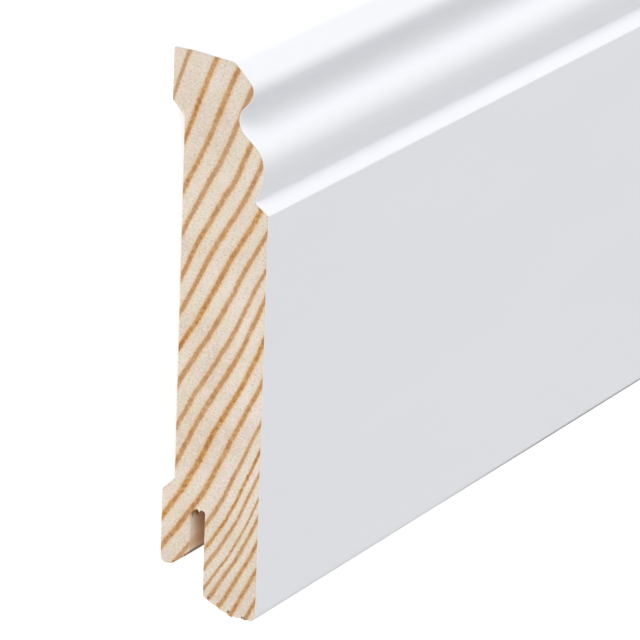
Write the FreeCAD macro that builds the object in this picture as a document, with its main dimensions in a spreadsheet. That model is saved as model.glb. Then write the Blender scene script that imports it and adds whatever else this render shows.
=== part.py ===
"""Skirting board length: one strip of solid pine, moulded on four sides, lying on its back.

X runs along the length, Y up the board's height from floor edge to moulded top edge,
and Z from the wall side to the room side. The origin is under the middle of the board,
on the plane of the two back lips that touch the wall, which is also what it lies on.
"""
import FreeCAD
import Part
import math
import os
import Sketcher

doc = FreeCAD.newDocument("skirting")

# Driving sizes in millimetres and degrees. A "setback" is measured back from the room
# face, a "drop" down from the top edge and a "rise" up from the floor edge.
DRIVING_SIZES = (
    # the planed strip
    ("board_length", 2400),
    ("board_height", 96),
    ("board_thickness", 18.5),
    # moulded top: a level ledge at the wall, a falling weathering and a rounded brow
    ("weathering_setback", 14.6),
    ("weathering_fall", 5),
    ("brow_setback", 7.9),
    ("brow_radius", 1.9),
    # nose, the small bead under the brow, and the cove cut in below it
    ("nose_setback", 3.4),
    ("nose_drop", 5.3),
    ("nose_radius", 2.4),
    ("cove_setback", 5.9),
    ("cove_drop", 10.2),
    ("cove_radius", 3),
    # ovolo, the large bead, with its long swell that runs in to the quirk
    ("ovolo_setback", 1.15),
    ("ovolo_drop", 17.6),
    ("ovolo_radius", 4.4),
    ("swell_radius", 12.1),
    ("quirk_radius", 0.4),
    # bevelled shoulder between the quirk and the flat room face
    ("shoulder_drop", 25.3),
    ("shoulder_fall", 35),
    # hollow of the back, which leaves a lip at the top and a foot at the bottom
    ("relief_depth", 2.2),
    ("relief_top_drop", 9.05),
    ("relief_foot_rise", 19.8),
    ("relief_slope", 45),
    ("relief_radius", 0.8),
    # clip groove in the floor edge, rounder at the back than at the front, and the short
    # leg behind it
    ("back_leg_thickness", 5.55),
    ("back_leg_rise", 6.85),
    ("back_leg_flat", 2.1),
    ("back_leg_bevel_rise", 9.4),
    ("back_leg_radius", 1),
    ("back_leg_tip_radius", 2),
    ("back_leg_bevel_radius", 2),
    ("groove_width", 2.8),
    ("groove_top_rise", 17.45),
    ("groove_back_radius", 1.2),
    ("groove_front_radius", 0.4),
    # toe, the front leg, bevelled behind and rounded in front
    ("toe_flat", 4.6),
    ("toe_bevel_rise", 2.5),
    ("toe_radius", 1.4),
    # edges eased by the moulding machine
    ("arris_radius", 0.35),
    # how far each cutter runs clear of the wood
    ("cutter_clearance", 2),
)

sheet = doc.addObject("Spreadsheet::Sheet", "sizes")
for row, (alias, value) in enumerate(DRIVING_SIZES, start=1):
    sheet.set(f"A{row}", alias)
    sheet.set(f"B{row}", str(value))
    sheet.setAlias(f"B{row}", alias)
doc.recompute()


def size(alias):
    """A driving size, read from the sheet."""
    return float(getattr(sheet, alias))


height = size("board_height")
thickness = size("board_thickness")
clearance = size("cutter_clearance")
top_edge = height / 2
floor_edge = -height / 2

body = doc.addObject("PartDesign::Body", "skirting_board")
body.Label = "skirting_board"
body.Placement = FreeCAD.Placement()
end_plane = next(plane for plane in body.Origin.OriginFeatures if plane.Role == "YZ_Plane")


# Every section is drawn on the end plane, with Y up the board to the right and Z up.
def vector(across, out):
    """A section point: across is Y, up the board, and out is Z, from the wall side."""
    return FreeCAD.Vector(across, out, 0)


def turned(heading):
    """The unit vector at an angle in degrees, measured from Y towards Z."""
    return vector(math.cos(math.radians(heading)), math.sin(math.radians(heading)))


def line(start, end):
    """A straight stretch of an outline, with the ends where it is entered and left."""
    return Part.LineSegment(start, end), 1, 2


def arc(centre, start, end, left_turn=True):
    """A round stretch about centre from start to end, turning left or right."""
    first, last = (start, end) if left_turn else (end, start)
    circle = Part.Circle(centre, FreeCAD.Vector(0, 0, 1), (start - centre).Length)
    bend = Part.ArcOfCircle(
        circle,
        math.atan2(first.y - centre.y, first.x - centre.x),
        math.atan2(last.y - centre.y, last.x - centre.x),
    )
    return (bend, 1, 2) if left_turn else (bend, 2, 1)


def draw_outline(name, stretches, smooth_after=()):
    """Sketch a closed outline on the end plane, smooth after the listed stretches."""
    sketch = body.newObject("Sketcher::SketchObject", name)
    sketch.AttachmentSupport = [(end_plane, "")]
    sketch.MapMode = "FlatFace"
    sketch.addGeometry([stretch[0] for stretch in stretches], False)
    for index, (_, _, leaves) in enumerate(stretches):
        following = (index + 1) % len(stretches)
        enters = stretches[following][1]
        kind = "Tangent" if index in smooth_after else "Coincident"
        sketch.addConstraint(Sketcher.Constraint(kind, index, leaves, following, enters))
    return sketch


def hold(sketch, kind, *stretches):
    """Hold straight stretches Horizontal, along Y, or Vertical, along Z."""
    for stretch in stretches:
        sketch.addConstraint(Sketcher.Constraint(kind, stretch))


def dimension(sketch, name, formula, kind, *ends):
    """Add a named dimension between ends of a sketch and bind it to the sheet."""
    value = float(sheet.evalExpression(formula))
    if kind == "Angle":
        value = math.radians(value)
    index = sketch.addConstraint(Sketcher.Constraint(kind, *ends, value))
    sketch.renameConstraint(index, name)
    sketch.setExpression(f"Constraints.{name}", formula)


def place(sketch, name, stretch, end, across=None, out=None):
    """Dimension one end of a stretch (3 is a round's centre) from the board's own origin."""
    if across:
        dimension(sketch, f"{name}_across", across, "DistanceX", -1, 1, stretch, end)
    if out:
        dimension(sketch, f"{name}_out", out, "DistanceY", -1, 1, stretch, end)


def mill(name, sketch):
    """Take an outline out of the board over its whole length."""
    before = body.Tip.Shape.Volume
    cut = body.newObject("PartDesign::Pocket", name)
    cut.Profile = sketch
    cut.SideType = "Symmetric"
    cut.Type = "Length"
    cut.setExpression("Length", "sizes.board_length + 2 * sizes.cutter_clearance")
    doc.recompute()
    if cut.Shape.isNull() or cut.Shape.Volume >= before:
        raise RuntimeError(f"{name} takes nothing off the board")


# The planed strip, before the shaped cutters reach it.
strip_corners = (
    vector(floor_edge, 0),
    vector(top_edge, 0),
    vector(top_edge, thickness),
    vector(floor_edge, thickness),
)
strip_section = draw_outline(
    "strip_section",
    [line(strip_corners[side], strip_corners[(side + 1) % 4]) for side in range(4)],
)
hold(strip_section, "Horizontal", 0, 2)
hold(strip_section, "Vertical", 1, 3)
strip_section.addConstraint(Sketcher.Constraint("PointOnObject", 0, 1, -1))
place(strip_section, "floor_edge", 0, 1, across="-sizes.board_height / 2")
place(strip_section, "room_face", 2, 1, across="sizes.board_height / 2", out="sizes.board_thickness")

strip = body.newObject("PartDesign::Pad", "planed_strip")
strip.Profile = strip_section
strip.SideType = "Symmetric"
strip.setExpression("Length", "sizes.board_length")
doc.recompute()


# The moulding: weathering, brow, nose, cove, ovolo, swell, quirk and shoulder.
def straight_between(first, first_radius, second, second_radius):
    """Touch points of the straight run from one round to the next, with the wood on its left.

    A hollow lies on the right, so its radius counts as negative.
    """
    between = second - first
    lean = math.degrees(math.asin((second_radius - first_radius) / between.Length))
    heading = math.degrees(math.atan2(between.y, between.x)) - lean
    outward = turned(heading - 90)
    return first + outward * first_radius, second + outward * second_radius


fall = size("weathering_fall")
brow_radius = size("brow_radius")
nose_radius = size("nose_radius")
cove_radius = size("cove_radius")
ovolo_radius = size("ovolo_radius")
swell_radius = size("swell_radius")
quirk_radius = size("quirk_radius")
outward_of_weathering = turned(fall)
weathering_start = vector(top_edge, thickness - size("weathering_setback"))
brow_out = thickness - size("brow_setback")
brow_start_out = brow_out + brow_radius * outward_of_weathering.y
brow_start = vector(
    top_edge - (brow_start_out - weathering_start.y) * math.tan(math.radians(fall)),
    brow_start_out,
)
brow = brow_start - outward_of_weathering * brow_radius
nose = vector(top_edge - size("nose_drop"), thickness - size("nose_setback") - nose_radius)
cove = vector(top_edge - size("cove_drop"), thickness - size("cove_setback") + cove_radius)
ovolo_front = vector(top_edge - size("ovolo_drop"), thickness - size("ovolo_setback"))
ovolo = ovolo_front - vector(0, ovolo_radius)
swell = ovolo_front - vector(0, swell_radius)
brow_end, nose_start = straight_between(brow, brow_radius, nose, nose_radius)
nose_end, cove_start = straight_between(nose, nose_radius, cove, -cove_radius)
cove_end, ovolo_start = straight_between(cove, -cove_radius, ovolo, ovolo_radius)

# The quirk is the small hollow that touches both the swell and the shoulder's bevel.
shoulder_arris = vector(top_edge - size("shoulder_drop"), thickness)
down_shoulder = turned(90 + size("shoulder_fall"))
off_shoulder = turned(size("shoulder_fall")) * quirk_radius
reach = shoulder_arris + off_shoulder - swell
along = reach.dot(down_shoulder)
quirk_to_swell = swell_radius + quirk_radius
back_up = along - math.sqrt(along**2 - reach.dot(reach) + quirk_to_swell**2)
quirk = shoulder_arris + off_shoulder - down_shoulder * back_up
swell_end = swell + (quirk - swell) * (swell_radius / quirk_to_swell)
shoulder_start = quirk - off_shoulder

cutter_front = thickness + clearance
cutter_top = top_edge + clearance
moulding_section = draw_outline(
    "moulding_section",
    [
        line(weathering_start, brow_start),
        arc(brow, brow_start, brow_end),
        line(brow_end, nose_start),
        arc(nose, nose_start, nose_end),
        line(nose_end, cove_start),
        arc(cove, cove_start, cove_end, left_turn=False),
        line(cove_end, ovolo_start),
        arc(ovolo, ovolo_start, ovolo_front),
        arc(swell, ovolo_front, swell_end),
        arc(quirk, swell_end, shoulder_start, left_turn=False),
        line(shoulder_start, shoulder_arris),
        line(shoulder_arris, vector(shoulder_arris.x, cutter_front)),
        line(vector(shoulder_arris.x, cutter_front), vector(cutter_top, cutter_front)),
        line(vector(cutter_top, cutter_front), vector(cutter_top, weathering_start.y)),
        line(vector(cutter_top, weathering_start.y), weathering_start),
    ],
    smooth_after=range(10),
)
hold(moulding_section, "Vertical", 11, 13)
hold(moulding_section, "Horizontal", 12, 14)
place(moulding_section, "weathering", 0, 1, "sizes.board_height / 2",
      "sizes.board_thickness - sizes.weathering_setback")
dimension(moulding_section, "weathering_fall", "90 + sizes.weathering_fall", "Angle", 0)
dimension(moulding_section, "brow_radius", "sizes.brow_radius", "Radius", 1)
place(moulding_section, "brow", 1, 3, out="sizes.board_thickness - sizes.brow_setback")
dimension(moulding_section, "nose_radius", "sizes.nose_radius", "Radius", 3)
place(moulding_section, "nose", 3, 3, "sizes.board_height / 2 - sizes.nose_drop",
      "sizes.board_thickness - sizes.nose_setback - sizes.nose_radius")
dimension(moulding_section, "cove_radius", "sizes.cove_radius", "Radius", 5)
place(moulding_section, "cove", 5, 3, "sizes.board_height / 2 - sizes.cove_drop",
      "sizes.board_thickness - sizes.cove_setback + sizes.cove_radius")
dimension(moulding_section, "ovolo_radius", "sizes.ovolo_radius", "Radius", 7)
place(moulding_section, "ovolo_front", 7, 2, "sizes.board_height / 2 - sizes.ovolo_drop",
      "sizes.board_thickness - sizes.ovolo_setback")
moulding_section.addConstraint(Sketcher.Constraint("Vertical", 7, 2, 7, 3))
dimension(moulding_section, "swell_radius", "sizes.swell_radius", "Radius", 8)
dimension(moulding_section, "quirk_radius", "sizes.quirk_radius", "Radius", 9)
dimension(moulding_section, "shoulder_fall", "90 + sizes.shoulder_fall", "Angle", 10)
place(moulding_section, "shoulder", 10, 2, "sizes.board_height / 2 - sizes.shoulder_drop",
      "sizes.board_thickness")
place(moulding_section, "cutter", 12, 2, "sizes.board_height / 2 + sizes.cutter_clearance",
      "sizes.board_thickness + sizes.cutter_clearance")
mill("moulding", moulding_section)


# The hollow of the back, so that only the top lip and the foot touch the wall.
relief_depth = size("relief_depth")
relief_run = relief_depth / math.tan(math.radians(size("relief_slope")))
lip = vector(top_edge - size("relief_top_drop"), 0)
lip_foot = lip + vector(-relief_run, relief_depth)
heel = vector(floor_edge + size("relief_foot_rise"), 0)
heel_foot = heel + vector(relief_run, relief_depth)
below = vector(0, -clearance)
relief_section = draw_outline(
    "relief_section",
    [
        line(lip, lip_foot),
        line(lip_foot, heel_foot),
        line(heel_foot, heel),
        line(heel, heel + below),
        line(heel + below, lip + below),
        line(lip + below, lip),
    ],
)
hold(relief_section, "Horizontal", 1, 4)
hold(relief_section, "Vertical", 3, 5)
relief_section.addConstraint(Sketcher.Constraint("PointOnObject", 0, 1, -1))
relief_section.addConstraint(Sketcher.Constraint("PointOnObject", 3, 1, -1))
place(relief_section, "lip", 0, 1, across="sizes.board_height / 2 - sizes.relief_top_drop")
place(relief_section, "heel", 3, 1, across="sizes.relief_foot_rise - sizes.board_height / 2")
place(relief_section, "depth", 0, 2, out="sizes.relief_depth")
place(relief_section, "cutter", 4, 1, out="-sizes.cutter_clearance")
dimension(relief_section, "lip_slope", "180 - sizes.relief_slope", "Angle", 0)
dimension(relief_section, "heel_slope", "sizes.relief_slope - 180", "Angle", 2)
mill("back_relief", relief_section)


# The floor edge: the back leg ends short and bevelled, the clip groove runs up behind the
# front leg, and the front leg is bevelled towards the groove and stands on a narrow flat.
leg_thickness = size("back_leg_thickness")
groove_back_radius = size("groove_back_radius")
groove_front_radius = size("groove_front_radius")
groove_front = leg_thickness + size("groove_width")
groove_top = floor_edge + size("groove_top_rise")
leg_end = floor_edge + size("back_leg_rise")
leg_bevel_end = vector(floor_edge + size("back_leg_bevel_rise"), leg_thickness)
leg_flat_end = vector(leg_end, size("back_leg_flat"))
groove_back = vector(groove_top - groove_back_radius, leg_thickness + groove_back_radius)
groove_corner = vector(groove_top - groove_front_radius, groove_front - groove_front_radius)
toe_bevel_start = vector(floor_edge + size("toe_bevel_rise"), groove_front)
toe_back = vector(floor_edge, thickness - size("toe_flat"))
cutter_bottom = floor_edge - clearance
floor_section = draw_outline(
    "floor_section",
    [
        line(vector(leg_end, -clearance), leg_flat_end),
        line(leg_flat_end, leg_bevel_end),
        line(leg_bevel_end, vector(groove_back.x, leg_thickness)),
        arc(
            groove_back,
            vector(groove_back.x, leg_thickness),
            vector(groove_top, groove_back.y),
        ),
        line(vector(groove_top, groove_back.y), vector(groove_top, groove_corner.y)),
        arc(
            groove_corner,
            vector(groove_top, groove_corner.y),
            vector(groove_corner.x, groove_front),
        ),
        line(vector(groove_corner.x, groove_front), toe_bevel_start),
        line(toe_bevel_start, toe_back),
        line(toe_back, vector(cutter_bottom, toe_back.y)),
        line(vector(cutter_bottom, toe_back.y), vector(cutter_bottom, -clearance)),
        line(vector(cutter_bottom, -clearance), vector(leg_end, -clearance)),
    ],
    smooth_after=range(2, 6),
)
hold(floor_section, "Vertical", 0, 4, 9)
hold(floor_section, "Horizontal", 2, 6, 8, 10)
place(floor_section, "leg_flat", 0, 2, "sizes.back_leg_rise - sizes.board_height / 2",
      "sizes.back_leg_flat")
place(floor_section, "leg_bevel", 1, 2, "sizes.back_leg_bevel_rise - sizes.board_height / 2",
      "sizes.back_leg_thickness")
dimension(floor_section, "groove_back_radius", "sizes.groove_back_radius", "Radius", 3)
dimension(floor_section, "groove_front_radius", "sizes.groove_front_radius", "Radius", 5)
place(floor_section, "groove_top", 4, 1, across="sizes.groove_top_rise - sizes.board_height / 2")
place(floor_section, "toe_bevel", 6, 2, "sizes.toe_bevel_rise - sizes.board_height / 2",
      "sizes.back_leg_thickness + sizes.groove_width")
place(floor_section, "toe", 7, 2, "-sizes.board_height / 2",
      "sizes.board_thickness - sizes.toe_flat")
place(floor_section, "cutter", 9, 2, "-sizes.board_height / 2 - sizes.cutter_clearance",
      "-sizes.cutter_clearance")
mill("floor_edge_cut", floor_section)


# The corners that the moulding machine leaves rounded.
SAME_PLACE = 0.01


def edges_along_board(corners):
    """Names of the edges that run the board's length through the given section points."""
    names = []
    for corner in corners:
        for number, edge in enumerate(body.Tip.Shape.Edges, start=1):
            middle = edge.CenterOfMass
            offset = math.hypot(middle.y - corner.x, middle.z - corner.y)
            if offset < SAME_PLACE and edge.BoundBox.XLength > SAME_PLACE:
                names.append(f"Edge{number}")
                break
        else:
            raise RuntimeError(f"no edge along the board at {corner}")
    return names


def round_over(name, corners, radius_alias):
    """Round the long edges at the given section points."""
    chosen = edges_along_board(corners)
    before = body.Tip
    rounding = body.newObject("PartDesign::Fillet", name)
    rounding.Base = (before, chosen)
    rounding.setExpression("Radius", f"sizes.{radius_alias}")
    doc.recompute()


round_over("relief_rounding", [lip, lip_foot, heel_foot, heel], "relief_radius")
round_over("back_leg_rounding", [vector(leg_end, 0)], "back_leg_radius")
round_over("back_leg_tip", [leg_flat_end], "back_leg_tip_radius")
round_over("back_leg_easing", [leg_bevel_end], "back_leg_bevel_radius")
round_over("toe_rounding", [vector(floor_edge, thickness)], "toe_radius")
round_over(
    "eased_arrises",
    [vector(top_edge, 0), shoulder_arris, toe_bevel_start, toe_back],
    "arris_radius",
)

for item in doc.Objects:
    if "Invalid" in item.State or "Error" in item.State:
        raise RuntimeError(f"{item.Name} is {item.State}")
if body.Shape.isNull() or not body.Shape.isValid() or len(body.Shape.Solids) != 1:
    raise RuntimeError("the board is not one valid solid")

os.makedirs("parts", exist_ok=True)
body.Shape.exportStep(f"parts/{body.Label}.step")
print("section area mm2", round(body.Shape.Volume / size("board_length"), 2))
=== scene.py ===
"""A length of lacquered pine skirting board, lying on its back on a pale studio floor.

The board is one strip of solid wood. The file follows it as it is made: the moulded
section, the rings of the log, the sawn ends, the strip, then its bare wood and lacquer.
"""
import math

import bpy
import numpy as np
from mathutils import Matrix, Vector
from mathutils.geometry import delaunay_2d_cdt


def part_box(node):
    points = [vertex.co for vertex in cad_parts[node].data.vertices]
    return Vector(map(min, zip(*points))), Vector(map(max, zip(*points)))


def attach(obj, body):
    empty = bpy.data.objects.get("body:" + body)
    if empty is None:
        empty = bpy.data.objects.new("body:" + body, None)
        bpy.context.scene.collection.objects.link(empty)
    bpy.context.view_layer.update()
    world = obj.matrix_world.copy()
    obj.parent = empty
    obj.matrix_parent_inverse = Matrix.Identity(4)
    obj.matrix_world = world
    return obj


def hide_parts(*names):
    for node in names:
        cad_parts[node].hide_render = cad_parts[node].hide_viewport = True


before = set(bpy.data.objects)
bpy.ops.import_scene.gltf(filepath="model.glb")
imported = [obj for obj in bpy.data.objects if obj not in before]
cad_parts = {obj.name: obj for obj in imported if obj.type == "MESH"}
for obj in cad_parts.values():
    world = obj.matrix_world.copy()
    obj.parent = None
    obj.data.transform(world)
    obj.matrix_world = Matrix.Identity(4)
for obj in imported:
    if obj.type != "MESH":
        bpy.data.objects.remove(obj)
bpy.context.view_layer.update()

# THE MOULDED SECTION
# The real piece is one strip of pine that ran past shaped cutters on all four sides. They
# leave a moulded top edge, a hollow back that touches the wall at two lips only, and a
# clip groove in the floor edge.
MM = 0.001
strip_low, strip_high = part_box("skirting_board")
length = (strip_high.x - strip_low.x) / MM
height = (strip_high.y - strip_low.y) / MM
thickness = (strip_high.z - strip_low.z) / MM


# A section point is (rise, depth) in millimetres: the rise above the floor edge and the
# depth out from the wall side.
def heading(degrees):
    """The unit vector at an angle measured from the rise towards the depth."""
    return Vector((math.cos(math.radians(degrees)), math.sin(math.radians(degrees))))


def eased(before, corner, after, radius):
    """The round that eases a corner, as (centre, radius), negative where it is hollow."""
    back = (Vector(before) - Vector(corner)).normalized()
    on = (Vector(after) - Vector(corner)).normalized()
    reach = radius / math.sqrt((1 - back.dot(on)) / 2)
    convex = back.x * on.y - back.y * on.x < 0
    return Vector(corner) + (back + on).normalized() * reach, radius if convex else -radius


# Moulded edge, from the wall side over the top: weathering, brow, nose, cove, ovolo, its
# swell, and the quirk, a small hollow that touches the swell and the bevelled shoulder.
arris_radius = 0.35
top_back = Vector((height, 0))
weathering_start = Vector((height, thickness - 14.6))
weathering_fall = math.radians(5)
brow_radius = 1.9
brow_depth = thickness - 7.9
brow_drop = (brow_depth - weathering_start.y) * math.tan(weathering_fall)
brow = Vector((height - brow_drop - brow_radius / math.cos(weathering_fall), brow_depth))
nose_radius = 2.4
nose = Vector((height - 5.3, thickness - 3.4 - nose_radius))
cove_radius = 3.0
cove = Vector((height - 10.2, thickness - 5.9 + cove_radius))
ovolo_front = Vector((height - 17.6, thickness - 1.15))
ovolo_radius, swell_radius, quirk_radius = 4.4, 12.1, 0.4
ovolo = ovolo_front - Vector((0, ovolo_radius))
swell = ovolo_front - Vector((0, swell_radius))
shoulder = Vector((height - 25.3, thickness))
shoulder_fall = 35
down_shoulder = heading(90 + shoulder_fall)
above_shoulder = shoulder + heading(shoulder_fall) * quirk_radius
reach = above_shoulder - swell
foot_of_reach = reach.dot(down_shoulder)
swell_to_quirk = swell_radius + quirk_radius
quirk_from_arris = foot_of_reach - math.sqrt(
    foot_of_reach**2 - reach.dot(reach) + swell_to_quirk**2
)
quirk = above_shoulder - down_shoulder * quirk_from_arris

# Floor edge, from the room side: toe, its bevel, the clip groove and the short back leg.
toe_front = Vector((0, thickness))
toe_back = Vector((0, thickness - 4.6))
toe_radius = 1.4
groove_width = 2.8
groove_back_depth = 5.55
groove_front_depth = groove_back_depth + groove_width
groove_top = 17.45
groove_back_radius, groove_front_radius = 1.2, 0.4
toe_bevel = Vector((2.5, groove_front_depth))
groove_front = Vector((groove_top, groove_front_depth))
groove_back = Vector((groove_top, groove_back_depth))
leg_bevel = Vector((9.4, groove_back_depth))
leg_rise = 6.85
leg_flat = Vector((leg_rise, 2.1))
leg_back = Vector((leg_rise, 0))
leg_tip_radius, leg_back_radius = 2.0, 1.0

# The hollow of the back, between the foot and the lip that touch the wall.
hollow = 2.35
hollow_radius = 0.8
foot = Vector((19.8, 0))
foot_inside = foot + Vector((hollow, hollow))
lip = Vector((height - 9.05, 0))
lip_inside = lip + Vector((-hollow, hollow))

lacquered_rounds = [
    eased(lip, top_back, weathering_start, arris_radius),
    (weathering_start, 0),
    (brow, brow_radius),
    (nose, nose_radius),
    (cove, -cove_radius),
    (ovolo, ovolo_radius),
    (swell, swell_radius),
    (quirk, -quirk_radius),
    eased(shoulder - down_shoulder, shoulder, toe_front, arris_radius),
    eased(shoulder, toe_front, toe_back, toe_radius),
]
bare_rounds = [
    eased(toe_front, toe_back, toe_bevel, arris_radius),
    eased(toe_back, toe_bevel, groove_front, arris_radius),
    eased(toe_bevel, groove_front, groove_back, groove_front_radius),
    eased(groove_front, groove_back, leg_bevel, groove_back_radius),
    eased(groove_back, leg_bevel, leg_flat, leg_tip_radius),
    eased(leg_bevel, leg_flat, leg_back, leg_tip_radius),
    eased(leg_flat, leg_back, foot, leg_back_radius),
    eased(leg_back, foot, foot_inside, hollow_radius),
    eased(foot, foot_inside, lip_inside, hollow_radius),
    eased(foot_inside, lip_inside, lip, hollow_radius),
    eased(lip_inside, lip, top_back, hollow_radius),
]
rounds = lacquered_rounds + bare_rounds


def outward_between(first, second):
    """Outward direction of the straight run that touches two rounds, wood on its left."""
    (from_centre, from_radius), (to_centre, to_radius) = first, second
    between = to_centre - from_centre
    lean = math.asin(max(-1, min(1, (to_radius - from_radius) / between.length)))
    return heading(math.degrees(math.atan2(between.y, between.x) - lean) - 90)


# The outline is walked once round, with closer points where it bends. A corner without a
# round gets one point, which faces halfway between its two sides.
bend_step = math.radians(6)
straight_step = 0.75
fewest_steps = 8
same_place = 0.01
outline, outward, lacquered = [], [], []
outwards = [
    outward_between(rounds[index], rounds[(index + 1) % len(rounds)])
    for index in range(len(rounds))
]
for index, (centre, radius) in enumerate(rounds):
    arrives, leaves = outwards[index - 1], outwards[index]
    turn = math.atan2(arrives.x * leaves.y - arrives.y * leaves.x, arrives.dot(leaves))
    steps = math.ceil(abs(turn) / bend_step) if radius else 0
    for step in range(steps + 1):
        angle = math.atan2(arrives.y, arrives.x) + turn * (step / steps if steps else 0.5)
        direction = heading(math.degrees(angle))
        point = centre + direction * radius
        if outline and (point - outline[-1]).length < same_place:
            continue
        outline.append(point)
        outward.append(direction)
        lacquered.append(index < len(lacquered_rounds))
    next_centre, next_radius = rounds[(index + 1) % len(rounds)]
    start = centre + leaves * radius
    end = next_centre + leaves * next_radius
    steps = max(fewest_steps, math.ceil((end - start).length / straight_step))
    if (end - start).length > same_place:
        for step in range(1, steps):
            outline.append(start.lerp(end, step / steps))
            outward.append(leaves)
            lacquered.append(index < len(lacquered_rounds))
outline = np.array([tuple(point) for point in outline])
outward = np.array([tuple(direction) for direction in outward])
lacquered = np.array(lacquered)
around = len(outline)

# THE YEAR RINGS
# The strip was sawn well out from the middle of a large log, so the rings cross its end
# as shallow arcs that lean from the back down to the room face. Pale, broad spring wood
# alternates with narrow brown summer wood.
pith = Vector((394, -769))

# The rings aren't quite round. Each wave in them is its size in mm, how fast it turns per mm
# of rise and of depth, and where it starts. Each sway along the board is its size in mm and
# its wavelength, and the fibres also slope a little outwards.
ring_waves = ((1.4, -0.014, 0.156, 2.52), (0.235, -0.13, 0.032, 0.98),
              (0.186, 0.205, 0.113, -0.02))
sways = ((5.0, 1900), (1.8, 640))
fibre_slope = 0.002

# Widths of the rings in mm, outwards from the pith. Some lie outside the near end and cross
# the board further on.
rings_before = (5.2, 4.6, 5.0)
rings_in_end = (4.45, 3.35, 2.85, 2.85, 2.45, 2.75, 2.6, 2.8, 2.15, 2.7,
                2.65, 2.95, 2.05, 1.6, 1.85, 1.35, 2.0, 2.3, 2.75)
rings_after = (2.6, 2.9, 2.4, 2.7, 2.5, 2.2, 2.6)
ring_widths = rings_before + rings_in_end + rings_after
first_in_end = 829.35
first_ring = first_in_end - sum(rings_before)
ring_lines = first_ring + np.concatenate(([0], np.cumsum(ring_widths)))
ring_span = ring_lines[-1] - first_ring

# How brown the line of summer wood is between one ring and the next, from 0 to 1, and how
# far in mm it stands out to either side on a sawn end.
browns_before = (0.5, 0.7, 0.4)
browns_in_end = (0.1, 0.9, 0.65, 0.35, 0.6, 0.55, 0.9, 0.5, 0.45, 0.55,
                 0.95, 0.7, 0.45, 0.9, 0.45, 0.5, 0.5, 0.7, 0.75, 0.65)
browns_after = (0.6, 0.5, 0.8, 0.4, 0.6, 0.7, 0.5)
browns = browns_before + browns_in_end + browns_after
summer_reach = 0.6


def growth(rise, depth, along):
    """Distance from the log's pith in mm, for arrays of places in the board."""
    radius = np.hypot(rise - pith.x, depth - pith.y)
    for size, per_rise, per_depth, phase in ring_waves:
        radius = radius + size * np.sin(per_rise * rise + per_depth * depth + phase)
    for size, wavelength in sways:
        radius = radius + size * np.sin(along * math.tau / wavelength)
    return radius + fibre_slope * along


def summer_wood(rise, depth, along):
    """How near each place lies to a line of summer wood, from 0 to 1."""
    radius = growth(rise, depth, along)
    away = np.abs(radius[:, None] - ring_lines[None, :]).min(axis=1)
    return np.clip(1 - away / summer_reach, 0, 1)


# THE SAWN ENDS
# Both ends were cut square with a fine circular saw. It leaves shallow arcs, tears a few
# fibres loose at the top of the groove and the toe, and shows the lacquer as a thin rim.
film = 0.09
saw_radius = 150
saw_pitch = 1.3
saw_depth = 0.012
tooth_relief = 0.008
summer_relief = 0.022

# A sawn face is a net of triangles inside the coat's rim. Its points are moved a little by
# chance, so that they stand in no rows, and keep clear of the rim.
cell = 0.47
cell_jitter = 0.13
edge_gap = 0.6 * cell
chance = np.random.default_rng(seed=11)


def inside_outline(points, loop):
    """Which points lie inside a loop and clear of it."""
    start, end = loop, np.roll(loop, -1, axis=0)
    edge = end - start
    to_point = points[:, None, :] - start[None, :, :]
    share = np.clip((to_point * edge).sum(2) / (edge**2).sum(1), 0, 1)
    gap = np.linalg.norm(to_point - share[:, :, None] * edge, axis=2).min(1)
    spans = (start[:, 1] > points[:, 1:2]) != (end[:, 1] > points[:, 1:2])
    climb = np.where(edge[:, 1] == 0, 1, edge[:, 1])
    crossing = start[:, 0] + edge[:, 0] * (points[:, 1:2] - start[:, 1]) / climb
    inside = (spans & (points[:, 0:1] < crossing)).sum(1) % 2 == 1
    return inside & (gap > edge_gap)


inner_loop = outline - outward * film
columns = np.arange(0, height, cell)
rows = np.arange(0, thickness, cell * math.sqrt(3) / 2)
grid = np.array([
    (rise + (cell / 2 if row % 2 else 0), depth)
    for row, depth in enumerate(rows)
    for rise in columns
])
grid = grid + chance.uniform(-cell_jitter, cell_jitter, grid.shape)
grid = grid[inside_outline(grid, inner_loop)]

# The sources of a point in the net are the numbers of the end points that it stands for, and
# those of the rim come first.
end_points = [Vector(point) for point in np.concatenate([inner_loop, grid])]
inside_only = 1
merge_distance = 1e-6
flat_points, _, end_triangles, sources, _, _ = delaunay_2d_cdt(
    end_points, [], [list(range(around))], inside_only, merge_distance
)


def saw_marks(rise, depth, along):
    """How far each place of a sawn end lies below the saw's plane, in mm."""
    arc = np.hypot(rise - height / 2, depth + saw_radius)
    marks = saw_depth * (0.5 + 0.5 * np.sin(arc * math.tau / saw_pitch))
    teeth = chance.uniform(0, tooth_relief, len(rise))
    return marks + teeth + summer_relief * (1 - summer_wood(rise, depth, along))


# Splinters in the groove's ceiling at the near end, and nicks along the toe. Each is its
# depth, its reach to either side, and how far it sticks out or, where that is negative, has
# broken away. They fade out along the board. The ceiling takes in the groove's rounds.
splinters = ((6.3, 0.2, -0.2), (6.75, 0.25, -0.3), (7.2, 0.16, 0.4), (7.7, 0.2, -0.2))
nicks = ((8.9, 0.4, 0.1), (10.2, 0.6, 0.28), (11.4, 0.2, -0.1), (11.95, 0.35, 0.22),
         (12.7, 0.2, -0.1), (14.4, 0.3, -0.26), (15.6, 0.8, -0.22), (17.0, 0.4, -0.24))
tears_fade = 0.9
ceiling_rounds = 0.9


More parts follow.
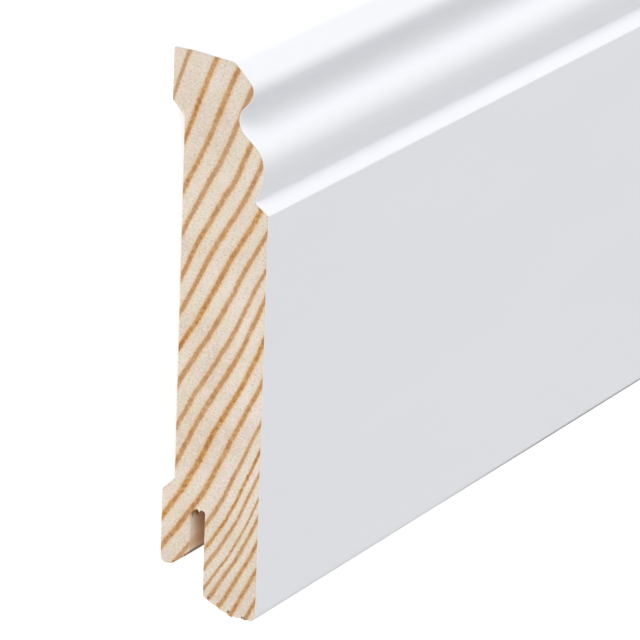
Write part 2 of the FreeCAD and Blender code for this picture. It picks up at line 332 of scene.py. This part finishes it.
def torn(distance):
    """How far the outline is pushed out at a distance from the near end, in mm."""
    push = np.zeros(around)
    fade = max(0, 1 - distance / tears_fade)
    in_ceiling = np.abs(outline[:, 0] - groove_top) < ceiling_rounds
    in_ceiling &= (outline[:, 1] > groove_back_depth) & (outline[:, 1] < groove_front_depth)
    on_toe = (outline[:, 0] < toe_bevel.x) & (outline[:, 1] > groove_front_depth)
    for where, tears in ((in_ceiling, splinters), (on_toe, nicks)):
        for depth, width, size in tears:
            shape = np.clip(1 - np.abs(outline[:, 1] - depth) / width, 0, 1)
            push += np.where(where, shape * size * fade, 0)
    return push


# THE STRIP
# The board itself, solid pine from end to end. Its mesh is closed: the outline drawn along
# the board, at closer stations near the ends, where the tears are, and two sawn faces.
from_end = (0, 0.12, 0.3, 0.6, 1.0, 2, 4, 8, 16, 32, 64, 128, 256, 450, 700, 950)
stations = [*from_end, length / 2, *(length - distance for distance in reversed(from_end))]
vertices, faces, finishes = [], [], []
LACQUER, PLANED, SAWN = 0, 1, 2
sharp_from = math.radians(32)
for distance in stations:
    loop = outline + outward * torn(distance)[:, None]
    for rise, depth in loop:
        vertices.append((distance - length / 2, rise - height / 2, depth))
for station in range(len(stations) - 1):
    for point in range(around):
        following = (point + 1) % around
        here, there = station * around, (station + 1) * around
        faces.append((here + point, here + following, there + following, there + point))
        finishes.append(LACQUER if lacquered[point] else PLANED)

for near in (True, False):
    rim = 0 if near else (len(stations) - 1) * around
    distance = 0 if near else length
    first = len(vertices)
    places = np.array([tuple(point) for point in flat_points])
    if near:
        push = torn(0)
        for index, source in enumerate(sources):
            if min(source) < around:
                places[index] += outward[min(source)] * push[min(source)]
    sunk = saw_marks(places[:, 0], places[:, 1], np.full(len(places), distance))
    inward = 1 if near else -1
    for (rise, depth), below in zip(places, sunk):
        x = distance - length / 2 + inward * below
        vertices.append((x, rise - height / 2, depth))
    inner = {min(source): first + index for index, source in enumerate(sources)}
    for point in range(around):
        following = (point + 1) % around
        band = (rim + point, inner[point], inner[following], rim + following)
        faces.append(band if near else band[::-1])
        finishes.append(LACQUER if lacquered[point] else SAWN)
    for triangle in end_triangles:
        corners = [first + index for index in triangle]
        faces.append(corners[::-1] if near else corners)
        finishes.append(SAWN)

mesh = bpy.data.meshes.new("pine_skirting")
mesh.from_pydata([tuple(c * MM for c in vertex) for vertex in vertices], [], faces)
mesh.polygons.foreach_set("material_index", finishes)
mesh.polygons.foreach_set("use_smooth", [True] * len(faces))
mesh.set_sharp_from_angle(angle=sharp_from)
mesh.validate()
board = bpy.data.objects.new("pine_skirting", mesh)
bpy.context.scene.collection.objects.link(board)


# THE WOOD
# Pine, planed bare on the back, the groove and the legs, and sawn at the ends. Its
# colour comes from the year rings, which run through the strip from end to end.
def linear(colour):
    """A colour written as sRGB hex, as the linear values that a shader takes."""
    shares = [int(colour[place:place + 2], 16) / 255 for place in (1, 3, 5)]
    return (*(s / 12.92 if s <= 0.04045 else ((s + 0.055) / 1.055) ** 2.4 for s in shares), 1)


def add(tree, kind, inputs=(), **settings):
    """Add a node with its settings, and link or set its inputs. A text is a hex colour."""
    node = tree.nodes.new(kind)
    for name, value in settings.items():
        setattr(node, name, value)
    for socket, value in dict(inputs).items():
        if isinstance(value, bpy.types.NodeSocket):
            tree.links.new(value, node.inputs[socket])
        else:
            value = linear(value) if isinstance(value, str) else value
            node.inputs[socket].default_value = value
    return node.outputs


def finish(name):
    """A new material with an empty node tree."""
    material = bpy.data.materials.new(name)
    material.use_nodes = True
    material.node_tree.nodes.clear()
    return material, material.node_tree


def place_in_mm(tree):
    """The place in the board in mm, with X from the middle of its length."""
    place = add(tree, "ShaderNodeTexCoord")["Object"]
    return add(tree, "ShaderNodeVectorMath", {0: place, "Scale": 1 / MM}, operation="SCALE")[0]


def read_off(tree, value, across, heights):
    """A value read off the straight runs between the given points, all in 0 to 1."""
    node = tree.nodes.new("ShaderNodeFloatCurve")
    points = node.mapping.curves[0].points
    points[0].location = (across[0], heights[0])
    points[1].location = (across[-1], heights[-1])
    for at, height_there in zip(across[1:-1], heights[1:-1]):
        points.new(at, height_there)
    for point in points:
        point.handle_type = "VECTOR"
    node.mapping.update()
    tree.links.new(value, node.inputs["Value"])
    return node.outputs[0]


# Each line's place, and its number, as a share of the way from the first line to the last.
line_shares = (ring_lines - first_ring) / ring_span
line_numbers = np.arange(len(ring_lines)) / len(ring_widths)

# The lines wander a little and have ragged edges, and both run on along the fibres. Each is
# its size across the fibres and the span that it moves a line over, in mm.
wanderings = ((6.0, 0.4), (0.6, 0.35))


def year_ring(tree, place):
    """How far in mm a place lies past the nearest line of summer wood, and that line's share."""
    centred = (0, pith.x - height / 2, pith.y)
    across = add(tree, "ShaderNodeVectorMath", {0: place, 1: (0, 1, 1)}, operation="MULTIPLY")[0]
    radius = add(tree, "ShaderNodeVectorMath", {0: across, 1: centred}, operation="DISTANCE")[1]
    for size, per_rise, per_depth, phase in ring_waves:
        turns = add(tree, "ShaderNodeVectorMath", {0: place, 1: (0, per_rise, per_depth)},
                    operation="DOT_PRODUCT")[1]
        turns = add(tree, "ShaderNodeMath", {0: turns, 1: phase + per_rise * height / 2})[0]
        wave = add(tree, "ShaderNodeMath", {0: turns}, operation="SINE")[0]
        radius = add(tree, "ShaderNodeMath", {0: wave, 1: size, 2: radius},
                     operation="MULTIPLY_ADD")[0]
    from_middle = add(tree, "ShaderNodeSeparateXYZ", {0: place})[0]
    along = add(tree, "ShaderNodeMath", {0: from_middle, 1: length / 2})[0]
    for size, wavelength in sways:
        turns = add(tree, "ShaderNodeMath", {0: along, 1: math.tau / wavelength},
                    operation="MULTIPLY")[0]
        wave = add(tree, "ShaderNodeMath", {0: turns}, operation="SINE")[0]
        radius = add(tree, "ShaderNodeMath", {0: wave, 1: size, 2: radius},
                     operation="MULTIPLY_ADD")[0]
    radius = add(tree, "ShaderNodeMath", {0: along, 1: fibre_slope, 2: radius},
                 operation="MULTIPLY_ADD")[0]
    fibres = add(tree, "ShaderNodeVectorMath", {0: place, 1: (0.03, 1, 1)},
                 operation="MULTIPLY")[0]
    for grain, size in wanderings:
        uneven = add(tree, "ShaderNodeTexNoise", {"Vector": fibres, "Scale": 1 / grain,
                                                  "Detail": 1.0})[0]
        uneven = add(tree, "ShaderNodeMath", {0: uneven, 1: 0.5}, operation="SUBTRACT")[0]
        radius = add(tree, "ShaderNodeMath", {0: uneven, 1: size, 2: radius},
                     operation="MULTIPLY_ADD")[0]
    share = add(tree, "ShaderNodeMapRange", {"Value": radius, "From Min": float(first_ring),
                                             "From Max": float(ring_lines[-1])})[0]
    # The nearest line is the one whose number is the nearest whole one.
    counted = read_off(tree, share, line_shares, line_numbers)
    counted = add(tree, "ShaderNodeMath", {0: counted, 1: len(ring_widths)},
                  operation="MULTIPLY")[0]
    nearest = add(tree, "ShaderNodeMath", {0: counted}, operation="ROUND")[0]
    nearest = add(tree, "ShaderNodeMath", {0: nearest, 1: len(ring_widths)},
                  operation="DIVIDE")[0]
    line = read_off(tree, nearest, line_numbers, line_shares)
    away = add(tree, "ShaderNodeMath", {0: share, 1: line}, operation="SUBTRACT")[0]
    return add(tree, "ShaderNodeMath", {0: away, 1: ring_span}, operation="MULTIPLY")[0], line


# Summer wood fills a share of each ring to either side of its line, up to a widest half.
# Its tan band, then its dark core, fade in between two multiples of that half.
summer_share, widest_half = 0.155, 0.38
summer_halves = np.minimum(summer_share * np.array((*ring_widths, ring_widths[-1])), widest_half)
band_fades = ((2.3, 0.5), (1.3, 0.45))


def summer_bands(tree, away, line):
    """The soft tan band of the nearest summer wood and its dark core, each from 0 to 1."""
    half = read_off(tree, line, line_shares, summer_halves)
    gap = add(tree, "ShaderNodeMath", {0: away}, operation="ABSOLUTE")[0]
    gap = add(tree, "ShaderNodeMath", {0: gap, 1: half}, operation="DIVIDE")[0]
    return [
        add(tree, "ShaderNodeMapRange", {"Value": gap, "From Min": start, "From Max": full},
            interpolation_type="SMOOTHSTEP")[0]
        for start, full in band_fades
    ]


def patches(tree, place, size, low, high, to_low=0.0, to_high=1.0, detail=2.0):
    """Soft patches of about the given size in mm, as a share from to_low to to_high."""
    noise = add(tree, "ShaderNodeTexNoise", {"Vector": place, "Scale": 1 / size,
                                             "Detail": detail})[0]
    return add(tree, "ShaderNodeMapRange", {"Value": noise, "From Min": low, "From Max": high,
                                            "To Min": to_low, "To Max": to_high})[0]


def tinted(tree, colour, *tints):
    """A colour with tints laid over it in turn, each given as its share and its colour."""
    for share, tint in tints:
        colour = add(tree, "ShaderNodeMix", {0: share, 6: colour, 7: tint}, data_type="RGBA")[2]
    return colour


# Dark marks on the sawn ends: a speck in the lip, and painted shade of torn fibres in the toe
# and along the back leg's tip. Each is its rise, its depth and its size in mm.
dark_specks_and_painted_shade = ((84.3, 1.2, 0.22), (2.5, 9.4, 0.3), (1.8, 11.2, 0.2), (0.85, 13.3, 0.35),
               (0.45, 15.9, 0.25), (0.45, 16.3, 0.25), (7.35, 2.55, 0.3), (8.55, 4.2, 0.25),
               (8.9, 4.65, 0.35), (9.15, 5.0, 0.35), (9.45, 5.3, 0.35))
speck_core = 0.3


def specks(tree, place, spots):
    """1 in the cores of the given spots of a section, fading to 0 at their rims."""
    across = add(tree, "ShaderNodeVectorMath", {0: place, 1: (0, 1, 1)}, operation="MULTIPLY")[0]
    share = 0.0
    for rise, depth, size in spots:
        middle = (0, rise - height / 2, depth)
        gap = add(tree, "ShaderNodeVectorMath", {0: across, 1: middle}, operation="DISTANCE")[1]
        spot = add(tree, "ShaderNodeMapRange", {"Value": gap, "From Min": size,
                                                "From Max": speck_core * size})[0]
        share = add(tree, "ShaderNodeMath", {0: share, 1: spot}, operation="MAXIMUM")[0]
    return share


def sawn_pine():
    """Sawn end grain: matt and porous, cream with fine pale and grey flecks of cut fibre."""
    material, tree = finish("sawn_pine_end_grain")
    place = place_in_mm(tree)
    away, line = year_ring(tree, place)
    # The lines of summer wood are weaker here and there.
    strength = patches(tree, place, 2.2, 0.35, 0.6, 0.78, 1.0)
    tan_band, dark_core = (
        add(tree, "ShaderNodeMath", {0: band, 1: strength}, operation="MULTIPLY")[0]
        for band in summer_bands(tree, away, line)
    )
    # Spring wood is cream, in soft patches of straw, tan, rose and olive.
    spring = tinted(tree, "#ECE1D9", (patches(tree, place, 7, 0.4, 0.6), "#E9E0CE"),
                    (patches(tree, place, 12, 0.42, 0.62, 0, 0.9), "#DBCBBB"),
                    (patches(tree, place, 1.3, 0.45, 0.62, 0, 0.7), "#EDDACF"),
                    (patches(tree, place, 2.6, 0.52, 0.36, 0, 0.7), "#E2DBC2"))
    # Summer wood goes from a dull tan to amber, line by line.
    brown = read_off(tree, line, line_shares, browns)
    amber = tinted(tree, "#A4641F", (patches(tree, place, 0.7, 0.35, 0.65), "#CB964A"))
    tan = tinted(tree, "#EBCAA8", (brown, "#E8B878"))
    core = tinted(tree, "#BD9775", (brown, amber))
    colour = tinted(tree, spring, (tan_band, tan), (dark_core, core))
    # The wood is a little browner towards the board's two edges.
    edges_from, edges_to = 20, height / 2
    rise = add(tree, "ShaderNodeSeparateXYZ", {0: place})[1]
    rise = add(tree, "ShaderNodeMath", {0: rise}, operation="ABSOLUTE")[0]
    edges = add(tree, "ShaderNodeMapRange", {"Value": rise, "From Min": edges_from,
                                             "From Max": edges_to, "To Max": 0.11})[0]
    colour = tinted(tree, colour, (edges, "#A88C68"))
    # Cut fibres show as flecks about a third of a millimetre across, drawn out along the
    # rays. They are coarser than the real cells, which are too fine to see.
    fleck_size = 0.3
    ray_lean = math.atan2(pith.x - height / 2, thickness / 2 - pith.y)
    drawn_out = add(tree, "ShaderNodeMapping", {"Vector": place, "Rotation": (ray_lean, 0, 0),
                                                "Scale": (1, 1, 1.5)},
                    vector_type="TEXTURE")[0]
    open_wood = add(tree, "ShaderNodeMapRange", {"Value": tan_band, "To Min": 0.53,
                                                 "To Max": 0.22})[0]
    for low, high, fleck in ((0.54, 0.72, "#F8F2EA"), (0.46, 0.30, "#BDAE97")):
        flecked = patches(tree, drawn_out, fleck_size, low, high)
        flecked = add(tree, "ShaderNodeMath", {0: flecked, 1: open_wood},
                      operation="MULTIPLY")[0]
        colour = tinted(tree, colour, (flecked, fleck))
    # Resin canals, cut across, are pale dots in and beside the summer wood.
    canal_spacing = 1.1
    across_fibres = add(tree, "ShaderNodeVectorMath", {0: place, 1: (0.01, 1, 1)},
                        operation="MULTIPLY")[0]
    canals = add(tree, "ShaderNodeTexVoronoi", {"Vector": across_fibres,
                                                "Scale": 1 / canal_spacing})
    dot = add(tree, "ShaderNodeMapRange", {"Value": canals["Distance"], "From Min": 0.13,
                                           "From Max": 0.07, "To Max": 0.8})[0]
    chosen = add(tree, "ShaderNodeMath", {0: canals["Color"], 1: 0.5},
                 operation="GREATER_THAN")[0]
    for share in (chosen, tan_band):
        dot = add(tree, "ShaderNodeMath", {0: dot, 1: share}, operation="MULTIPLY")[0]
    # Pale resin canals, then the dark marks: a speck in the lip, and painted shade at the toe
    # and the back leg's tip.
    colour = tinted(tree, colour, (dot, "#F5E0BE"),
                    (specks(tree, place, dark_specks_and_painted_shade), "#6E5847"))
    bump = add(tree, "ShaderNodeBump", {"Height": dark_core, "Distance": 0.03 * MM,
                                        "Strength": 0.6})[0]
    surface = add(tree, "ShaderNodeBsdfPrincipled", {"Base Color": colour, "Roughness": 0.85,
                                                     "IOR": 1.5, "Normal": bump})[0]
    add(tree, "ShaderNodeOutputMaterial", {"Surface": surface})
    return material


def with_painted_shade(tree, place, colour):
    """A colour of the planed wood with painted shade: warmer deeper in the groove, brown under
    its ceiling and on the back leg's tip.
    """
    from_middle, rise, depth = add(tree, "ShaderNodeSeparateXYZ", {0: place})
    along = add(tree, "ShaderNodeMath", {0: from_middle, 1: length / 2})[0]
    from_floor = add(tree, "ShaderNodeMath", {0: rise, 1: height / 2})[0]
    in_groove = add(tree, "ShaderNodeMath", {0: depth, 1: groove_back_depth - 1},
                    operation="GREATER_THAN")[0]
    # The groove's sides are painted warmer and darker from a little way in: painted shade that
    # deepens into the groove.
    groove_shade_from, groove_shade_to = 1.2, 3
    inside = add(tree, "ShaderNodeMapRange", {"Value": along, "From Min": groove_shade_from,
                                              "From Max": groove_shade_to, "To Max": 0.5})[0]
    inside = add(tree, "ShaderNodeMath", {0: inside, 1: in_groove}, operation="MULTIPLY")[0]
    # Painted shade under the groove's ceiling, in ragged teeth drawn down its side like the
    # shade of the torn fibres that hang there.
    ceiling_shade_low, ceiling_shade_high = groove_top - 2.1, groove_top - 1.2
    down = add(tree, "ShaderNodeVectorMath", {0: place, 1: (1, 0.1, 1)}, operation="MULTIPLY")[0]
    ceiling_shade_to = patches(tree, down, 0.5, 0.35, 0.65, ceiling_shade_low, ceiling_shade_high, 1.0)
    ceiling_shade = add(tree, "ShaderNodeMath", {0: from_floor, 1: ceiling_shade_to}, operation="SUBTRACT")[0]
    ceiling_shade = add(tree, "ShaderNodeMapRange", {"Value": ceiling_shade, "From Max": 0.6, "To Max": 0.9})[0]
    ceiling_shade = add(tree, "ShaderNodeMath", {0: ceiling_shade, 1: in_groove}, operation="MULTIPLY")[0]
    # Painted shade on the back leg's rounded tip, strongest near the end and fading along the
    # board.
    tip_rise, tip_fade = 10.0, 0.3
    tip_depth, tip_reach = 3.6, 2.1
    tip_shade_from, tip_shade_to = 6, 18
    leg_tip_shade = add(tree, "ShaderNodeMapRange", {"Value": from_floor, "From Min": tip_rise,
                                           "From Max": tip_rise - tip_fade})[0]
    beside = add(tree, "ShaderNodeMath", {0: depth, 1: tip_depth, 2: tip_reach},
                 operation="COMPARE")[0]
    tip_shade_fade = add(tree, "ShaderNodeMapRange", {"Value": along, "From Min": tip_shade_from,
                                                "From Max": tip_shade_to, "To Min": 0.85,
                                                "To Max": 0.2})[0]
    for share in (beside, tip_shade_fade):
        leg_tip_shade = add(tree, "ShaderNodeMath", {0: leg_tip_shade, 1: share}, operation="MULTIPLY")[0]
    # All three tints are painted shade: deeper in the groove, under its ceiling and on the back
    # leg's tip.
    return tinted(tree, colour, (inside, "#F2C29C"), (ceiling_shade, "#AC8038"), (leg_tip_shade, "#6C5650"))


def planed_pine():
    """Planed bare pine: silky and pale, with amber ring stripes and fine fibre streaks."""
    material, tree = finish("planed_bare_pine")
    place = place_in_mm(tree)
    away, line = year_ring(tree, place)
    tan_band, _ = summer_bands(tree, away, line)
    streak_size, tone_size, knife_pitch = 0.5, 12, 1.6
    fibres = add(tree, "ShaderNodeVectorMath", {0: place, 1: (0.02, 1, 1)},
                 operation="MULTIPLY")[0]
    streaks = add(tree, "ShaderNodeTexNoise", {"Vector": fibres, "Scale": 1 / streak_size,
                                               "Detail": 3.0})[0]
    tone = add(tree, "ShaderNodeTexNoise", {"Vector": fibres, "Scale": 1 / tone_size,
                                            "Detail": 1.0})[0]
    streaked = add(tree, "ShaderNodeMapRange", {"Value": streaks, "From Min": 0.35,
                                                "From Max": 0.7, "To Max": 0.45})[0]
    spring = tinted(tree, "#F6E9DA", (tone, "#EFDDC6"), (streaked, "#E9D9C2"))
    summer = tinted(tree, "#DDB583", (tone, "#D0A370"))
    tan_band = add(tree, "ShaderNodeMath", {0: tan_band, 1: 0.55}, operation="MULTIPLY")[0]
    colour = with_painted_shade(tree, place, tinted(tree, spring, (tan_band, summer)))
    # The planer's knives leave faint waves across the board, with open fibres between them.
    along = add(tree, "ShaderNodeSeparateXYZ", {0: place})[0]
    knives = add(tree, "ShaderNodeMath", {0: along, 1: math.tau / knife_pitch},
                 operation="MULTIPLY")[0]
    knives = add(tree, "ShaderNodeMath", {0: knives}, operation="SINE")[0]
    relief = add(tree, "ShaderNodeMath", {0: knives, 1: 0.1, 2: streaks},
                 operation="MULTIPLY_ADD")[0]
    bump = add(tree, "ShaderNodeBump", {"Height": relief, "Distance": 0.03 * MM,
                                        "Strength": 0.6})[0]
    surface = add(tree, "ShaderNodeBsdfPrincipled", {"Base Color": colour, "Roughness": 0.62,
                                                     "IOR": 1.5, "Normal": bump})[0]
    add(tree, "ShaderNodeOutputMaterial", {"Surface": surface})
    return material


# THE LACQUER
# A factory-sprayed white lacquer over primer on the room side, from the top back arris to
# the toe. It is satin, nearly flat, with the faint unevenness that spraying leaves.
def white_lacquer():
    """Satin white lacquer: even and cool white, with soft broad highlights."""
    material, tree = finish("satin_white_lacquer")
    place = place_in_mm(tree)
    cloud_size, peel_size = 18, 1.4
    drawn_out = add(tree, "ShaderNodeVectorMath", {0: place, 1: (0.25, 1, 1)},
                    operation="MULTIPLY")[0]
    cloud = add(tree, "ShaderNodeTexNoise", {"Vector": drawn_out, "Scale": 1 / cloud_size,
                                             "Detail": 2.0})[0]
    # Painted shade greys the coat on the toe's lower round, and shows as a fine dark line
    # further on.
    toe_shade_from, toe_shade_to = 1.25, 0.85
    line_from, line_to = 60, 100
    from_middle, rise, _ = add(tree, "ShaderNodeSeparateXYZ", {0: place})
    along = add(tree, "ShaderNodeMath", {0: from_middle, 1: length / 2})[0]
    from_floor = add(tree, "ShaderNodeMath", {0: rise, 1: height / 2})[0]
    toe_shade = add(tree, "ShaderNodeMapRange", {"Value": from_floor, "From Min": toe_shade_from,
                                            "From Max": toe_shade_to})[0]
    further_on = add(tree, "ShaderNodeMapRange", {"Value": along, "From Min": line_from,
                                                  "From Max": line_to, "To Max": 0.9})[0]
    toe_shade = add(tree, "ShaderNodeMath", {0: toe_shade, 1: further_on}, operation="MULTIPLY")[0]
    # The last tint is the painted shade on the toe's round.
    colour = tinted(tree, "#EAEBEF", (cloud, "#EEEFF3"), (toe_shade, "#84858A"))
    peel = add(tree, "ShaderNodeTexNoise", {"Vector": drawn_out, "Scale": 1 / peel_size,
                                            "Detail": 1.0})[0]
    bump = add(tree, "ShaderNodeBump", {"Height": peel, "Distance": 0.01 * MM,
                                        "Strength": 0.5})[0]
    surface = add(tree, "ShaderNodeBsdfPrincipled", {"Base Color": colour, "Roughness": 0.42,
                                                     "IOR": 1.5, "Normal": bump})[0]
    add(tree, "ShaderNodeOutputMaterial", {"Surface": surface})
    return material


# THE FINISHED LENGTH
# The board is one piece of wood with its coat on it, so one mesh carries all three
# finishes. Nothing is fixed to it.
for surface in (white_lacquer(), planed_pine(), sawn_pine()):
    board.data.materials.append(surface)
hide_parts("skirting_board")
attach(board, "root")

# THE FLOOR
# A plain white studio floor that the board lies on. It is lifted to white where the
# camera or a reflection sees it, and keeps the board's shadow.
floor_reach = 30
floor_drop = 0.02 * MM
floor_glow = 0.75
corners = [(-floor_reach, -floor_reach), (floor_reach, -floor_reach),
           (floor_reach, floor_reach), (-floor_reach, floor_reach)]
floor_mesh = bpy.data.meshes.new("studio_floor")
floor_mesh.from_pydata([(x, y, -floor_drop) for x, y in corners], [], [(0, 1, 2, 3)])
floor = bpy.data.objects.new("studio_floor", floor_mesh)
bpy.context.scene.collection.objects.link(floor)


def seen_directly(tree):
    """1 for the rays that see a surface from the lens, in a reflection or through glass."""
    path = add(tree, "ShaderNodeLightPath")
    seen = add(tree, "ShaderNodeMath", {0: path["Is Camera Ray"], 1: path["Is Glossy Ray"]},
               operation="MAXIMUM")[0]
    return add(tree, "ShaderNodeMath", {0: seen, 1: path["Is Transmission Ray"]},
               operation="MAXIMUM")[0]


floor_paint, floor_tree = finish("white_studio_floor")
seen = seen_directly(floor_tree)
lift = add(floor_tree, "ShaderNodeMath", {0: seen, 1: floor_glow}, operation="MULTIPLY")[0]
glow = add(floor_tree, "ShaderNodeEmission", {"Strength": lift})[0]
matt = add(floor_tree, "ShaderNodeBsdfDiffuse", {"Color": "#E8E8E8"})[0]
both = add(floor_tree, "ShaderNodeAddShader", {0: matt, 1: glow})[0]
add(floor_tree, "ShaderNodeOutputMaterial", {"Surface": both})
floor.data.materials.append(floor_paint)

# THE LIGHT
# A white room lights the board evenly. A broad soft lamp off its moulded edge and near end
# makes the top read lightest, and a weak one lights the room face. Each lamp is its name,
# the way to it from the board and its strength.
room_light = 0.545
lamp_spread = math.radians(50)
lamps = (("edge_lamp", (-0.5, 0.853, 0.15), 0.82), ("face_lamp", (-0.5, 0, 0.866), 0.14))
world = bpy.data.worlds.new("white_studio")
bpy.context.scene.world = world
world.use_nodes = True
world.node_tree.nodes.clear()
seen = seen_directly(world.node_tree)
brightness = add(world.node_tree, "ShaderNodeMapRange", {"Value": seen,
                                                         "To Min": room_light})[0]
sky = add(world.node_tree, "ShaderNodeBackground", {"Color": "#FFFFFF",
                                                    "Strength": brightness})[0]
add(world.node_tree, "ShaderNodeOutputWorld", {"Surface": sky})
for name, lamp_from, lamp_light in lamps:
    lamp_data = bpy.data.lights.new(name, "SUN")
    lamp_data.energy = lamp_light * math.pi
    lamp_data.angle = lamp_spread
    lamp = bpy.data.objects.new(name, lamp_data)
    lamp.rotation_mode = "QUATERNION"
    lamp.rotation_quaternion = Vector(lamp_from).to_track_quat("Z", "Y")
    bpy.context.scene.collection.objects.link(lamp)

# THE CAMERA
# A long lens looks along the board from beyond its near end. It stands out from the room
# face by one angle and towards the moulded edge by another.
picture_side = 640
focal_pixels = 5867.6
sensor_width = 36
swing_out = math.radians(29.18)
lift_up = math.radians(19.51)
roll = math.radians(2.097)

# The toe's near corner shows at this pixel, and lies this many metres ahead of the lens.
toe_pixel = (255.1, 623.6)
toe_distance = 0.96595
toe_corner = Vector((strip_low.x, strip_low.y, strip_high.z))
to_lens = Vector((-math.cos(lift_up) * math.cos(swing_out), math.sin(lift_up),
                  math.cos(lift_up) * math.sin(swing_out)))
level = (-to_lens).cross(Vector((0, 1, 0))).normalized()
upright = level.cross(-to_lens)
right = level * math.cos(roll) + upright * math.sin(roll)
up = upright * math.cos(roll) - level * math.sin(roll)
across = (toe_pixel[0] - picture_side / 2) / focal_pixels
down = (toe_pixel[1] - picture_side / 2) / focal_pixels
lens_place = toe_corner - (right * across - up * down - to_lens) * toe_distance
camera_data = bpy.data.cameras.new("camera")
camera_data.sensor_width = sensor_width
camera_data.lens = sensor_width * focal_pixels / picture_side
camera_data.clip_start, camera_data.clip_end = 0.05, 100
camera = bpy.data.objects.new("camera", camera_data)
turn = Matrix((right, up, to_lens)).transposed()
camera.matrix_world = Matrix.Translation(lens_place) @ turn.to_4x4()
bpy.context.scene.collection.objects.link(camera)
bpy.context.scene.camera = camera
bpy.context.scene.view_settings.view_transform = "Standard"
